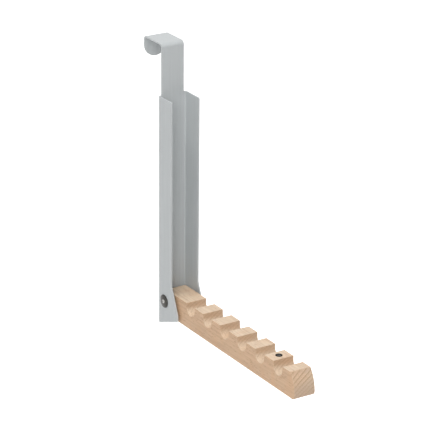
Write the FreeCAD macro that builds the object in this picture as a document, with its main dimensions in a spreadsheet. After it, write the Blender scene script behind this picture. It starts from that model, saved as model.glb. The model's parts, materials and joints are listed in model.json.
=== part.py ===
import FreeCAD, Part
import math
import os
import re
import Sketcher

# Over-door folding hanger bracket. One steel sheet is folded to a channel, and the middle of its web runs on
# upwards as a strap, which hooks over the top of a door. A notched beech arm swings on a pivot between the
# channel's two ears: level in use, upright inside the channel when folded, where a pot magnet in one tooth
# holds it to the steel.
#
# Frame: origin in the middle of the hook's underside, where it sits on the door. +Z up, -Y out of the door
# towards the arm's tip, X across.

# Name, millimetres or a count, and what it is.
SIZES = (
    ("door_gap", 40.0, "clear space between strap and tab, for the door"),
    ("strap_width", 32.0, "strap, across"),
    ("strap_bend", 3.0, "strap, inner radius of its two bends"),
    ("strap_rise", 64.4, "hook's underside above the channel's top"),
    ("tab_drop", 26.3, "tab's lowest point below the hook's underside"),
    ("neck_round", 0.8, "radius where the strap leaves the channel's top"),
    ("channel_width", 41.0, "channel, outside"),
    ("channel_depth", 32.7, "channel, web's back to the flanges' front edges"),
    ("channel_height", 306.0, "channel, overall"),
    ("channel_sheet", 2.0, "strap and channel, sheet thickness"),
    ("channel_bend", 1.5, "channel, inner radius of its two bends"),
    ("lip_round", 2.0, "radius of the flanges' top front corners"),
    ("flare_rise", 58.5, "where the flanges start to widen, above the foot"),
    ("flare_round", 12.0, "radius where they start and stop widening"),
    ("ear_reach", 47.7, "ears' front edges, from the web's back"),
    ("ear_edge", 7.1, "ear's upright front edge"),
    ("ear_rise", 17.1, "ear's front corner, above the foot"),
    ("ear_round", 2.0, "radius of the ear's front corner"),
    ("pad_diameter", 16.0, "rear pad"),
    ("pad_spread", 18.0, "rear pads, centre to centre"),
    ("pad_rise", 16.0, "rear pads, above the foot"),
    ("pad_height", 1.0, "rear pad, thickness"),
    ("pad_chamfer", 0.3, "rear pad, chamfered rim"),
    ("pivot_depth", 16.2, "pivot's axis in front of the web's back"),
    ("pivot_rise", 34.4, "pivot's axis above the foot"),
    ("axle_diameter", 9.0, "sleeve nut's barrel, which the arm turns on"),
    ("axle_clearance", 0.08, "running clearance round the barrel, on the radius"),
    ("ear_clearance", 0.1, "ear hole round the barrel, on the radius"),
    ("head_diameter", 17.5, "heads of bolt and sleeve nut"),
    ("head_rim", 0.9, "straight rim of the heads"),
    ("head_height", 2.0, "heads, at the middle of the dome"),
    ("head_gap", 0.1, "play between a head and its ear"),
    ("socket_flats", 5.0, "hexagon socket across flats"),
    ("socket_depth", 1.8, "hexagon socket, from the top of the dome"),
    ("bolt_diameter", 5.8, "bolt's shank"),
    ("bolt_clearance", 0.1, "shank in the barrel, on the radius"),
    ("bolt_length", 24.0, "bolt, under the head"),
    ("bolt_chamfer", 0.8, "lead-in at the bolt's end"),
    ("bore_spare", 4.0, "barrel's bore beyond the bolt's end"),
    ("bush_diameter", 13.0, "bush in the arm"),
    ("bush_length", 11.0, "bush inside the arm"),
    ("flange_diameter", 19.0, "bush's flange between arm and ear"),
    ("side_gap", 0.25, "play between a bush's flange and the ear"),
    ("arm_width", 29.4, "arm, across"),
    ("arm_height", 33.5, "arm, over a tooth"),
    ("fold_gap", 1.5, "tooth tops to the web when the arm is folded"),
    ("stop_gap", 0.3, "arm's back end to the web"),
    ("block_reach", 44.5, "first block's front face, from the pivot's axis"),
    ("notch_count", 6, "notches"),
    ("notch_pitch", 40.0, "notches, centre to centre"),
    ("notch_width", 20.0, "notch, along the arm"),
    ("notch_depth", 14.5, "notch, to the bottom of its round"),
    ("tip_land", 16.5, "top of the last tooth"),
    ("tip_rake", 10.2, "set-back of the arm's end at the top"),
    ("toe_round", 5.0, "radius under the arm's end"),
    ("edge_chamfer", 0.8, "eased edges of the arm"),
    ("magnet_tooth", 5, "which tooth after the first block holds the magnet"),
    ("magnet_diameter", 9.0, "magnet's steel cup"),
    ("magnet_height", 4.0, "magnet's steel cup"),
    ("magnet_gap", 1.3, "cup to the web when the arm is folded"),
    ("cup_wall", 0.8, "cup's rim"),
    ("cup_floor", 1.0, "cup's floor"),
    ("screw_diameter", 2.2, "magnet's screw"),
    ("screw_clearance", 0.2, "cup and magnet round the screw, on the radius"),
    ("screw_length", 11.0, "screw, below the top of its head"),
    ("screw_head", 4.6, "screw's countersunk head"),
    ("screw_sink", 0.2, "top of the head below the cup's rim"),
    ("cross_span", 2.6, "cross recess"),
    ("cross_slot", 0.6, "cross recess, width of a slot"),
    ("cross_depth", 0.8, "cross recess"),
)

# How far a cut runs past the face that it opens, and how near an edge lies to the place it is looked for, in
# millimetres.
OVER = 5.0
NEAR = 1e-4

# Lengths that several pieces share, in the sheet's names.
WEB_BACK = "(door_gap / 2)"
FOOT = "(strap_rise + channel_height)"
PIVOT_Y = f"(-{WEB_BACK} - pivot_depth)"
PIVOT_Z = f"(pivot_rise - {FOOT})"
TOOTH_TOP = "(pivot_depth - channel_sheet - fold_gap)"
ARM_BOTTOM = f"({TOOTH_TOP} - arm_height)"
ARM_BACK = "(pivot_depth - channel_sheet - stop_gap)"
TIP_TOP = "(block_reach + (notch_count - 1) * notch_pitch + notch_width + tip_land)"
MAGNET_Y = "(-block_reach - magnet_tooth * notch_pitch + (notch_pitch - notch_width) / 2)"
MAGNET_PROUD = "(fold_gap - magnet_gap)"

doc = FreeCAD.newDocument("hanger_bracket")
sheet = doc.addObject("Spreadsheet::Sheet", "Sizes")


def fill_sheet():
    for row, (alias, value, meaning) in enumerate(SIZES, start=1):
        sheet.set(f"A{row}", meaning)
        sheet.set(f"B{row}", str(value))
        sheet.setAlias(f"B{row}", alias)
    doc.recompute()


def sized(text):
    """The expression with each size's name turned into its cell of the sheet."""
    return re.sub(r"[a-z]+(_[a-z]+)+", lambda name: "Sizes." + name.group(), text)


def amount(text):
    """The expression's value now."""
    return float(sheet.evalExpression(sized(text)))


def new_body(name, base=("0", "0", "0"), turn=None):
    """A named body, placed by three expressions and turned as (axis, degrees)."""
    body = doc.addObject("PartDesign::Body", name)
    body.Label = name
    if turn:
        body.Placement = FreeCAD.Placement(FreeCAD.Vector(), FreeCAD.Rotation(*turn))
    for axis, text in zip("xyz", base):
        body.setExpression(f".Placement.Base.{axis}", sized(text))
    return body


def datum(body, role):
    return next(item for item in body.Origin.OriginFeatures if item.Role == role)


def new_sketch(body, name, plane, offset="0"):
    """A sketch on one of the body's own planes, moved along the plane's normal."""
    sketch = body.newObject("Sketcher::SketchObject", name)
    sketch.AttachmentSupport = (datum(body, plane), [""])
    sketch.MapMode = "FlatFace"
    sketch.setExpression(".AttachmentOffset.Base.z", sized(offset))
    return sketch


def pin(sketch, kind, geometry, point, text):
    """Holds a point at a distance from the sketch's origin."""
    number = sketch.addConstraint(Sketcher.Constraint(kind, -1, 1, geometry, point, amount(text)))
    sketch.setExpression(f"Constraints[{number}]", sized(text))


def outline(sketch, corners, arcs={}, free=()):
    """A closed outline bound to the sheet.

    corners are (across, up) expressions. arcs gives, for the side that starts at a corner, its centre's
    across and up and whether it turns left or right. free lists the corner and direction pairs that an arc
    settles.
    """
    spots = [FreeCAD.Vector(amount(across), amount(up), 0) for across, up in corners]
    sides = []
    for corner, start in enumerate(spots):
        finish = spots[(corner + 1) % len(spots)]
        if corner not in arcs:
            number = sketch.addGeometry(Part.LineSegment(start, finish))
            sides.append(((number, 1), (number, 2)))
            continue
        across, up, turn = arcs[corner]
        centre = FreeCAD.Vector(amount(across), amount(up), 0)
        circle = Part.Circle(centre, FreeCAD.Vector(0, 0, 1), (start - centre).Length)
        first, last = (start, finish) if turn == "left" else (finish, start)
        angles = [math.atan2((spot - centre).y, (spot - centre).x) for spot in (first, last)]
        number = sketch.addGeometry(Part.ArcOfCircle(circle, *angles))
        pin(sketch, "DistanceX", number, 3, across)
        pin(sketch, "DistanceY", number, 3, up)
        ends = ((number, 1), (number, 2))
        sides.append(ends if turn == "left" else ends[::-1])
    for corner, place in enumerate(corners):
        start = sides[corner][0]
        sketch.addConstraint(Sketcher.Constraint("Coincident", *sides[corner - 1][1], *start))
        for kind, text in zip(("DistanceX", "DistanceY"), place):
            if (corner, kind) not in free:
                pin(sketch, kind, *start, text)


def circle(sketch, across, up, diameter):
    """A circle bound to the sheet."""
    centre = FreeCAD.Vector(amount(across), amount(up), 0)
    drawn = Part.Circle(centre, FreeCAD.Vector(0, 0, 1), amount(diameter) / 2)
    number = sketch.addGeometry(drawn)
    pin(sketch, "DistanceX", number, 3, across)
    pin(sketch, "DistanceY", number, 3, up)
    size = sketch.addConstraint(Sketcher.Constraint("Diameter", number, amount(diameter)))
    sketch.setExpression(f"Constraints[{size}]", sized(diameter))


def feature(body, kind, name, sketch, length=None, symmetric=False, reverse=False):
    """A Pad or Pocket of a sketch. A Pocket with no length goes right through."""
    made = body.newObject(f"PartDesign::{kind}", name)
    made.Profile = sketch
    made.Reversed = reverse
    if symmetric:
        made.SideType = "Symmetric"
    if length:
        made.setExpression("Length", sized(length))
    else:
        made.Type = "ThroughAll"
    doc.recompute()
    return made


def revolution(body, name, sketch):
    """A full turn of the sketch about its own upright axis."""
    made = body.newObject("PartDesign::Revolution", name)
    made.Profile = sketch
    made.ReferenceAxis = (sketch, ["V_Axis"])
    made.Angle = 360
    doc.recompute()
    return made


def ease(body, kind, name, base, size, chosen):
    """A Fillet or Chamfer of the base feature's edges for which chosen(edge) holds."""
    made = body.newObject(f"PartDesign::{kind}", name)
    names = [f"Edge{number}" for number, edge in enumerate(base.Shape.Edges, start=1) if chosen(edge)]
    made.Base = (base, names)
    made.setExpression("Radius" if kind == "Fillet" else "Size", sized(size))
    doc.recompute()
    return made


def repeat(body, name, original, axis, pitch, count, reverse=False):
    """Copies of a feature in a line, which become the body's result."""
    pattern = body.newObject("PartDesign::LinearPattern", name + "_pattern")
    pattern.Originals = [original]
    pattern.Direction = (datum(body, axis), [""])
    pattern.Reversed = reverse
    pattern.Mode = "Spacing"
    pattern.setExpression("Offset", sized(pitch))
    pattern.setExpression("Occurrences", sized(count))
    body.Tip = pattern
    doc.recompute()
    return pattern


def edges_at(axis, *places):
    """A test for straight edges along an axis, at one of the places across it.

    places are pairs of expressions for the other two axes in X, Y, Z order.
    """
    others = [number for number in range(3) if number != "XYZ".index(axis)]
    spots = [tuple(amount(text) for text in place) for place in places]

    def chosen(edge):
        if len(edge.Vertexes) != 2:
            return False
        ends = [tuple(vertex.Point) for vertex in edge.Vertexes]
        return any(
            all(abs(end[other] - value) < NEAR for end in ends for other, value in zip(others, spot))
            for spot in spots
        )

    return chosen


def make_channel():
    """One folded sheet: a U with two flared ears at its foot, and the strap that its web runs on into."""
    body = new_body("channel", ("0", f"-{WEB_BACK}", f"-{FOOT}"))
    fold_sheet(body)
    cut_flanges(body)
    holes = new_sketch(body, "pivot_holes", "YZ_Plane")
    circle(holes, "-pivot_depth", "pivot_rise", "axle_diameter + 2 * ear_clearance")
    feature(body, "Pocket", "ear_holes", holes, symmetric=True)
    bend_hook(body)


def fold_sheet(body):
    """The U of web and flanges, as deep as the ears all the way up."""
    side = "(channel_width / 2)"
    inside = f"({side} - channel_sheet)"
    section = new_sketch(body, "section", "XY_Plane")
    outline(
        section,
        [
            (f"-{side}", "-ear_reach"),
            (f"-{side}", "0"),
            (side, "0"),
            (side, "-ear_reach"),
            (inside, "-ear_reach"),
            (inside, "-channel_sheet"),
            (f"-{inside}", "-channel_sheet"),
            (f"-{inside}", "-ear_reach"),
        ],
    )
    solid = feature(body, "Pad", "folded_sheet", section, "channel_height")
    outer = edges_at("Z", (f"-{side}", "0"), (side, "0"))
    solid = ease(body, "Fillet", "outer_folds", solid, "channel_bend + channel_sheet", outer)
    inner = edges_at("Z", (f"-{inside}", "-channel_sheet"), (inside, "-channel_sheet"))
    ease(body, "Fillet", "inner_folds", solid, "channel_bend", inner)


def cut_flanges(body):
    """Cuts the flanges back to their straight fronts and to the two flared ears."""
    front = new_sketch(body, "front_cut", "YZ_Plane")
    outline(
        front,
        [
            ("-channel_depth", f"channel_height + {OVER}"),
            (f"-ear_reach - {OVER}", f"channel_height + {OVER}"),
            (f"-ear_reach - {OVER}", "ear_rise"),
            ("-ear_reach", "ear_rise"),
            ("-ear_reach", "ear_rise + ear_edge"),
            ("-channel_depth", "flare_rise"),
        ],
    )
    feature(body, "Pocket", "flange_fronts", front, symmetric=True)
    foot = new_sketch(body, "foot_cut", "YZ_Plane")
    outline(
        foot,
        [
            ("-channel_bend - channel_sheet", "0"),
            ("-channel_bend - channel_sheet", f"-{OVER}"),
            (f"-ear_reach - {OVER}", f"-{OVER}"),
            (f"-ear_reach - {OVER}", "ear_rise"),
            ("-ear_reach", "ear_rise"),
        ],
    )
    solid = feature(body, "Pocket", "ear_bottoms", foot, symmetric=True)
    lips = edges_at("X", ("-channel_depth", "channel_height"))
    solid = ease(body, "Fillet", "lips", solid, "lip_round", lips)
    bends = edges_at("X", ("-channel_depth", "flare_rise"), ("-ear_reach", "ear_rise + ear_edge"))
    solid = ease(body, "Fillet", "flares", solid, "flare_round", bends)
    ease(body, "Fillet", "ear_corners", solid, "ear_round", edges_at("X", ("-ear_reach", "ear_rise")))


def bend_hook(body):
    """Runs the middle of the web on upwards as a strap, over the door and down to a half-round tab."""
    top = f"{FOOT} + channel_sheet"
    tab_back = "(door_gap + channel_sheet)"
    tab_end = f"({FOOT} - tab_drop + strap_width / 2)"
    profile = new_sketch(body, "strap_profile", "YZ_Plane")
    outline(
        profile,
        [
            ("-channel_sheet", "0"),
            ("-channel_sheet", top),
            (tab_back, top),
            (tab_back, tab_end),
            ("door_gap", tab_end),
            ("door_gap", FOOT),
            ("0", FOOT),
            ("0", "0"),
        ],
    )
    feature(body, "Pad", "strap_bar", profile, "strap_width", symmetric=True)
    tab = new_sketch(body, "tab_outline", "XZ_Plane", f"-{tab_back}")
    outline(
        tab,
        [("-strap_width / 2", tab_end), ("strap_width / 2", tab_end)],
        arcs={1: ("0", tab_end, "right")},
        free={(0, "DistanceX")},
    )
    solid = feature(body, "Pad", "tab_round", tab, "channel_sheet")

    outer = edges_at("X", ("-channel_sheet", top), (tab_back, top))
    solid = ease(body, "Fillet", "outer_bends", solid, "strap_bend + channel_sheet", outer)
    inner = edges_at("X", ("0", FOOT), ("door_gap", FOOT))
    solid = ease(body, "Fillet", "inner_bends", solid, "strap_bend", inner)
    necks = edges_at("Y", ("-strap_width / 2", "channel_height"), ("strap_width / 2", "channel_height"))
    ease(body, "Fillet", "neck_corners", solid, "neck_round", necks)


def make_rear_pad(name, across):
    """Thin round pad on the web's back, which keeps the steel off the door."""
    body = new_body(name, (across, f"-{WEB_BACK}", f"pad_rise - {FOOT}"), (FreeCAD.Vector(1, 0, 0), -90))
    face = new_sketch(body, f"{name}_face", "XY_Plane")
    circle(face, "0", "0", "pad_diameter")
    solid = feature(body, "Pad", f"{name}_disc", face, "pad_height")
    back = amount("pad_height")

    def on_back(edge):
        return abs(edge.BoundBox.ZMin - back) < NEAR

    ease(body, "Chamfer", f"{name}_rim", solid, "pad_chamfer", on_back)


def head_outline(body, name, below):
    """Sketch of half a domed head on its shank; below gives the corners under the head's seat."""
    dome = "(head_height^2 - head_rim^2 - head_diameter^2 / 4) / (2 * (head_height - head_rim))"
    half = new_sketch(body, f"{name}_half", "XZ_Plane")
    corners = below + [("head_diameter / 2", "0"), ("head_diameter / 2", "head_rim"), ("0", "head_height")]
    top = len(corners) - 2
    outline(half, corners, arcs={top: ("0", dome, "left")}, free={(top + 1, "DistanceY")})
    return half


def cut_socket(body, name):
    """Hexagon socket sunk in the dome."""
    mouth = new_sketch(body, f"{name}_mouth", "XY_Plane", "head_height")
    outline(
        mouth,
        [
            (f"socket_flats / sqrt(3) * cos({60 * corner})", f"socket_flats / sqrt(3) * sin({60 * corner})")
            for corner in range(6)
        ],
    )
    feature(body, "Pocket", f"{name}_socket", mouth, "socket_depth")


def make_pivot_bolt():
    """Bolt with a domed head on the left ear. Its shank screws into the sleeve nut's barrel."""
    base = ("-channel_width / 2 - head_gap", PIVOT_Y, PIVOT_Z)
    body = new_body("pivot_bolt", base, (FreeCAD.Vector(0, 1, 0), -90))
    half = head_outline(
        body,
        "bolt",
        [
            ("0", "-bolt_length"),
            ("bolt_diameter / 2 - bolt_chamfer", "-bolt_length"),
            ("bolt_diameter / 2", "bolt_chamfer - bolt_length"),
            ("bolt_diameter / 2", "0"),
        ],
    )
    revolution(body, "bolt_turned", half)
    cut_socket(body, "bolt")


def make_sleeve_nut():
    """Sleeve nut with the same head on the right ear. Its barrel runs through both ears, as the axle."""
    base = ("channel_width / 2 + head_gap", PIVOT_Y, PIVOT_Z)
    body = new_body("sleeve_nut", base, (FreeCAD.Vector(0, 1, 0), 90))
    barrel = "(channel_width + 2 * head_gap)"
    bore = "bolt_diameter / 2 + bolt_clearance"
    bore_end = f"bolt_length + bore_spare - {barrel}"
    half = head_outline(
        body,
        "nut",
        [
            ("0", bore_end),
            (bore, bore_end),
            (bore, f"-{barrel}"),
            ("axle_diameter / 2", f"-{barrel}"),
            ("axle_diameter / 2", "0"),
        ],
    )
    revolution(body, "nut_turned", half)
    cut_socket(body, "nut")


def make_bush(name, sign, turn):
    """Flanged bush pressed into the arm's bore. It turns on the barrel; its flange fills the side gap."""
    body = new_body(name, (f"{sign} * arm_width / 2", PIVOT_Y, PIVOT_Z), (FreeCAD.Vector(0, 1, 0), turn))
    flange = "channel_width / 2 - channel_sheet - side_gap - arm_width / 2"
    half = new_sketch(body, f"{name}_half", "XZ_Plane")
    outline(
        half,
        [
            ("axle_diameter / 2 + axle_clearance", "-bush_length"),
            ("bush_diameter / 2", "-bush_length"),
            ("bush_diameter / 2", "0"),
            ("flange_diameter / 2", "0"),
            ("flange_diameter / 2", flange),
            ("axle_diameter / 2 + axle_clearance", flange),
        ],
    )
    revolution(body, f"{name}_turned", half)


def make_arm():
    """Beech bar with U-shaped notches, a raked end, and a back rounded about the pivot above its stop."""
    body = new_body("arm", ("0", PIVOT_Y, PIVOT_Z))
    profile = new_sketch(body, "arm_side", "YZ_Plane")
    tip = f"(-{TIP_TOP} - tip_rake)"
    toe = f"({ARM_BOTTOM} + toe_round)"
    end_radius = "(tip_rake^2 + (arm_height - toe_round)^2) / (2 * tip_rake)"
    outline(
        profile,
        [
            (f"{tip} + toe_round", ARM_BOTTOM),
            (tip, toe),
            (f"-{TIP_TOP}", TOOTH_TOP),
            (f"sqrt({ARM_BACK}^2 - {TOOTH_TOP}^2)", TOOTH_TOP),
            (ARM_BACK, "0"),
            (ARM_BACK, ARM_BOTTOM),
        ],
        arcs={
            0: (f"{tip} + toe_round", toe, "right"),
            1: (f"{tip} + {end_radius}", toe, "right"),
            3: ("0", "0", "right"),
        },
        free={(1, "DistanceX"), (2, "DistanceX"), (3, "DistanceX")},
    )
    feature(body, "Pad", "bar", profile, "arm_width", symmetric=True)

    notch = new_sketch(body, "notch", "YZ_Plane")
    middle = "(-block_reach - notch_width / 2)"
    straight = f"{TOOTH_TOP} - notch_depth + notch_width / 2"
    outline(
        notch,
        [
            (f"{middle} + notch_width / 2", f"{TOOTH_TOP} + {OVER}"),
            (f"{middle} + notch_width / 2", straight),
            (f"{middle} - notch_width / 2", straight),
            (f"{middle} - notch_width / 2", f"{TOOTH_TOP} + {OVER}"),
        ],
        arcs={1: (middle, straight, "right")},
        free={(2, "DistanceX")},
    )
    cut = feature(body, "Pocket", "first_notch", notch, symmetric=True)
    solid = repeat(body, "notches", cut, "Y_Axis", "notch_pitch", "notch_count", reverse=True)
    ease(body, "Chamfer", "eased_edges", solid, "edge_chamfer", lambda edge: True)

    bore = new_sketch(body, "bush_bore", "YZ_Plane")
    circle(bore, "0", "0", "bush_diameter")
    feature(body, "Pocket", "cross_bore", bore, symmetric=True)
    seat = new_sketch(body, "magnet_seat", "XY_Plane", TOOTH_TOP)
    circle(seat, "0", MAGNET_Y, "magnet_diameter")
    feature(body, "Pocket", "magnet_pocket", seat, f"magnet_height - {MAGNET_PROUD}")
    pilot = new_sketch(body, "screw_pilot", "XY_Plane", TOOTH_TOP)
    circle(pilot, "0", MAGNET_Y, "screw_diameter")
    feature(body, "Pocket", "pilot_hole", pilot, f"screw_length + screw_sink - {MAGNET_PROUD}")


def turned_on_magnet(name, corners):
    """A ring or screw turned about the magnet's axis, up from the floor of its pocket."""
    floor = f"{PIVOT_Z} + {TOOTH_TOP} + {MAGNET_PROUD} - magnet_height"
    body = new_body(name, ("0", f"{PIVOT_Y} + {MAGNET_Y}", floor))
    half = new_sketch(body, f"{name}_half", "XZ_Plane")
    outline(half, corners)
    revolution(body, f"{name}_turned", half)
    return body


def make_magnet():
    """Pot magnet: a steel cup round a ring magnet, held by a countersunk screw."""
    hole = "(screw_diameter / 2 + screw_clearance)"
    core = "(magnet_diameter / 2 - cup_wall)"
    mouth = "(screw_head / 2 + screw_clearance)"
    turned_on_magnet(
        "magnet_cup",
        [
            (hole, "0"),
            ("magnet_diameter / 2", "0"),
            ("magnet_diameter / 2", "magnet_height"),
            (core, "magnet_height"),
            (core, "cup_floor"),
            (hole, "cup_floor"),
        ],
    )
    turned_on_magnet(
        "magnet_core",
        [
            (hole, "cup_floor"),
            (core, "cup_floor"),
            (core, "magnet_height"),
            (mouth, "magnet_height"),
            (hole, f"magnet_height - {mouth} + {hole}"),
        ],
    )
    top = "(magnet_height - screw_sink)"
    screw = turned_on_magnet(
        "magnet_screw",
        [
            ("0", f"{top} - screw_length"),
            ("screw_diameter / 2", f"{top} - screw_length + screw_diameter / 2"),
            ("screw_diameter / 2", f"{top} - screw_head / 2 + screw_diameter / 2"),
            ("screw_head / 2", top),
            ("0", top),
        ],
    )
    mouth_cross = new_sketch(screw, "cross_mouth", "XY_Plane", top)
    long = "(cross_span / 2)"
    short = "(cross_slot / 2)"
    outline(
        mouth_cross,
        [
            (short, long), (short, short), (long, short), (long, f"-{short}"),
            (short, f"-{short}"), (short, f"-{long}"), (f"-{short}", f"-{long}"), (f"-{short}", f"-{short}"),
            (f"-{long}", f"-{short}"), (f"-{long}", short), (f"-{short}", short), (f"-{short}", long),
        ],
    )
    feature(screw, "Pocket", "cross_recess", mouth_cross, "cross_depth")


def check_model():
    """Stops if any object of the document failed or a sub-part has no sound solid."""
    for item in doc.Objects:
        if "Invalid" in item.State or "Error" in item.State:
            raise RuntimeError(f"{item.Name} failed: {item.State}")
    for body in doc.findObjects("PartDesign::Body"):
        if body.Shape.isNull() or not body.Shape.isValid() or not body.Shape.Solids:
            raise RuntimeError(f"{body.Label} has no sound solid")


def export_parts():
    os.makedirs("parts", exist_ok=True)
    for body in doc.findObjects("PartDesign::Body"):
        body.Shape.exportStep(f"parts/{body.Label}.step")
        print(f"{body.Label}: {len(body.Shape.Solids)} solid, {body.Shape.Volume / 1000:.3f} cm3")


fill_sheet()
make_channel()
make_rear_pad("rear_pad_left", "-pad_spread / 2")
make_rear_pad("rear_pad_right", "pad_spread / 2")
make_pivot_bolt()
make_sleeve_nut()
make_bush("bush_left", "-1", -90)
make_bush("bush_right", "1", 90)
make_arm()
make_magnet()
doc.recompute()
check_model()
export_parts()
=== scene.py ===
import json
import math

import bmesh
import bpy
from bpy.props import FloatProperty, FloatVectorProperty, IntProperty, PointerProperty
from mathutils import Matrix, Vector


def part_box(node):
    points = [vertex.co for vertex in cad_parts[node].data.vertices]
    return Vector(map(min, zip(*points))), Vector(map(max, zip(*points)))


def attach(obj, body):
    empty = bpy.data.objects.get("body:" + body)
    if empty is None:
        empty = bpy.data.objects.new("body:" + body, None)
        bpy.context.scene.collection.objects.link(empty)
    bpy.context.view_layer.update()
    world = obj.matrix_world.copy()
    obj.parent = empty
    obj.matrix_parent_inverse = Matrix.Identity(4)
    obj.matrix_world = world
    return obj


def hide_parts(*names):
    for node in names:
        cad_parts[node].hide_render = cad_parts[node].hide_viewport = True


bl_info = {
    "name": "Over-door hanger bracket",
    "version": (1, 0, 0),
    "blender": (4, 5, 0),
    "location": "3D View > Sidebar > Bracket",
    "description": "Finishes the bracket: coated sheet steel, a notched beech arm, its pivot and its magnet",
    "category": "Object",
}

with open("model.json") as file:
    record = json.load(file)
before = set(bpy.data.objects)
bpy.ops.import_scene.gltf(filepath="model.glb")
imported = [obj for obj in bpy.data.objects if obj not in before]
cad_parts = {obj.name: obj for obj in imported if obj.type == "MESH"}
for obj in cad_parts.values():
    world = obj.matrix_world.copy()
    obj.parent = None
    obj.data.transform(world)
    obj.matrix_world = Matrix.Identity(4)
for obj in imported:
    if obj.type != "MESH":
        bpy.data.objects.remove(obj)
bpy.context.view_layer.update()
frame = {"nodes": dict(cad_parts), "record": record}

MM = 0.001
RECORD = frame["record"]
BRACKET = "bracket"
SWINGING = "hanging_arm"
PIVOT = Vector(RECORD["behaviour"]["joints"][0]["pos_m"])
NOTCH_BOTTOMS = [
    Vector(mount["pos_m"]) for mount in RECORD["mounts"] if mount["name"].startswith("hanger_notch_")
]

ARM_LO, ARM_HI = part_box("arm")
CUP_LO, CUP_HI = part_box("magnet_cup")
SCREW_LO, SCREW_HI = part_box("magnet_screw")
BOLT_LO, BOLT_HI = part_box("pivot_bolt")
NUT_LO, NUT_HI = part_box("sleeve_nut")
BUSH_LO, BUSH_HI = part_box("bush_right")
PAD_LO, PAD_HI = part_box("rear_pad_right")

# How finely the round shapes are divided.
TURNED_SIDES = 72
BORE_SIDES = 64
NOTCH_POINTS = 33
TOE_STEPS = 10
BOW_STEPS = 14
BACK_STEPS = 14

# Corners flatter than these angles are shaded as smooth, on the large pieces and on the turned ones.
SMOOTH_BELOW = 35.0
TURNED_SMOOTH_BELOW = 30.0

# Edges sharper than this angle get a small round.
ROUNDED_ABOVE = 40.0
ROUND_SEGMENTS = 3

MERGE_DISTANCE = 0.002 * MM
FLAT_WITHIN = 0.5
TINY = 1e-6
SMALL_EASE = 0.15 * MM


def length(name, description, default):
    return FloatProperty(
        name=name,
        description=description,
        default=default,
        min=0.0,
        unit="LENGTH",
        precision=5,
    )


def turn_angle(name, description, degrees):
    return FloatProperty(name=name, description=description, default=math.radians(degrees), subtype="ANGLE")


def lamp_power(name, description, default):
    return FloatProperty(name=name, description=description, default=default, min=0.0, subtype="POWER")


def colour(name, description, default):
    return FloatVectorProperty(
        name=name,
        description=description,
        default=default,
        size=3,
        min=0.0,
        max=1.0,
        subtype="COLOR",
    )


class ArmSizes(bpy.types.PropertyGroup):
    notch_count: IntProperty(
        name="Notches",
        description="Notches along the arm",
        default=len(NOTCH_BOTTOMS),
        min=1,
    )
    notch_pitch: length(
        "Notch pitch",
        "From one notch's middle to the next",
        NOTCH_BOTTOMS[0].y - NOTCH_BOTTOMS[1].y,
    )
    notch_width: length("Notch width", "Clear width of a notch", 20 * MM)
    tip_rake: length("Tip rake", "Set-back of the arm's end at the top", 10.2 * MM)
    toe_radius: length("Toe radius", "Round under the arm's end", 5 * MM)
    edge_radius: length("Edge radius", "Sanded round of the arm's edges", 0.5 * MM)
    bore: length("Bore", "Cross bore for the bushes", 13 * MM)


class SteelSizes(bpy.types.PropertyGroup):
    edge_radius: length("Edge radius", "Round of the sheet's edges under the paint", 0.4 * MM)


class PivotSizes(bpy.types.PropertyGroup):
    head: length("Head", "Diameter of the two heads", BOLT_HI.y - BOLT_LO.y)
    rim: length("Rim", "Straight rim of the heads", 0.9 * MM)
    dome: length("Dome", "Height of the heads in the middle", 2.0 * MM)
    socket: length("Socket", "Hexagon socket across its flats", 5 * MM)
    socket_depth: length("Socket depth", "Hexagon socket, from the top of the dome", 1.8 * MM)
    barrel: length("Barrel", "Diameter of the sleeve nut's barrel", 9 * MM)
    shank: length("Shank", "Diameter of the bolt's shank", 5.8 * MM)
    shank_length: length("Shank length", "Bolt's shank under its head", 24 * MM)
    running_gap: length("Running gap", "Clearance of a bush round the barrel", 0.08 * MM)
    flange: length("Flange", "Diameter of a bush's flange", BUSH_HI.y - BUSH_LO.y)


class MagnetSizes(bpy.types.PropertyGroup):
    rim: length("Cup rim", "Wall of the magnet's steel cup", 0.8 * MM)
    floor: length("Cup floor", "Floor of the magnet's steel cup", 1 * MM)
    cross: length("Cross", "Span of the screw's cross recess", 2.6 * MM)
    cross_slot: length("Cross slot", "Width of a slot of the cross recess", 0.6 * MM)
    cross_depth: length("Cross depth", "Depth of the cross recess", 0.8 * MM)


class Finishes(bpy.types.PropertyGroup):
    paint: colour("Paint", "Silver-grey powder coat", (0.503, 0.527, 0.533))
    wood: colour("Beech", "Middle tone of the beech", (0.66, 0.447, 0.287))
    # Painted sheen: the paler tone given to the arm's top faces.
    wood_top_sheen: colour("Pale beech", "Painted sheen, a paler tone on the arm's top faces", (0.73, 0.568, 0.412))
    # Painted highlight: the paler tone given to the lit bottoms of the notches.
    wood_notch_highlight: colour("Notch rounds", "Painted highlight, a paler tone in the bottoms of the notches", (0.67, 0.525, 0.385))
    wood_end: colour("End grain", "Duller tone where the saw went across the grain", (0.63, 0.45, 0.305))
    wood_tip: colour("Raked end", "Greyer tone of the sanded end", (0.605, 0.458, 0.338))
    wood_warm: colour("Warm beech", "Warm flush in places along the grain", (0.70, 0.42, 0.235))
    wood_dark: colour("Late wood", "Darker late wood of each ring", (0.40, 0.25, 0.15))
    wood_fleck: colour("Flecks", "Short dark flecks along the grain", (0.36, 0.19, 0.10))
    plating: colour("Black nickel", "Plating of the pivot and of the magnet's screw", (0.045, 0.043, 0.038))
    # Painted highlight: the bright colour painted in the pivot's sockets.
    socket_highlight: colour("Socket highlight", "Painted highlight, bright metal in the pivot's sockets", (0.80, 0.79, 0.77))
    zinc: colour("Black zinc", "Plating of the magnet's cup", (0.006, 0.006, 0.007))
    nylon: colour("Nylon", "Natural nylon of the bushes", (0.62, 0.60, 0.54))
    rubber: colour("Rubber", "Moulded rubber of the pads", (0.035, 0.035, 0.036))
    magnet: colour("Magnet", "Ring magnet", (0.008, 0.008, 0.009))


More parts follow.
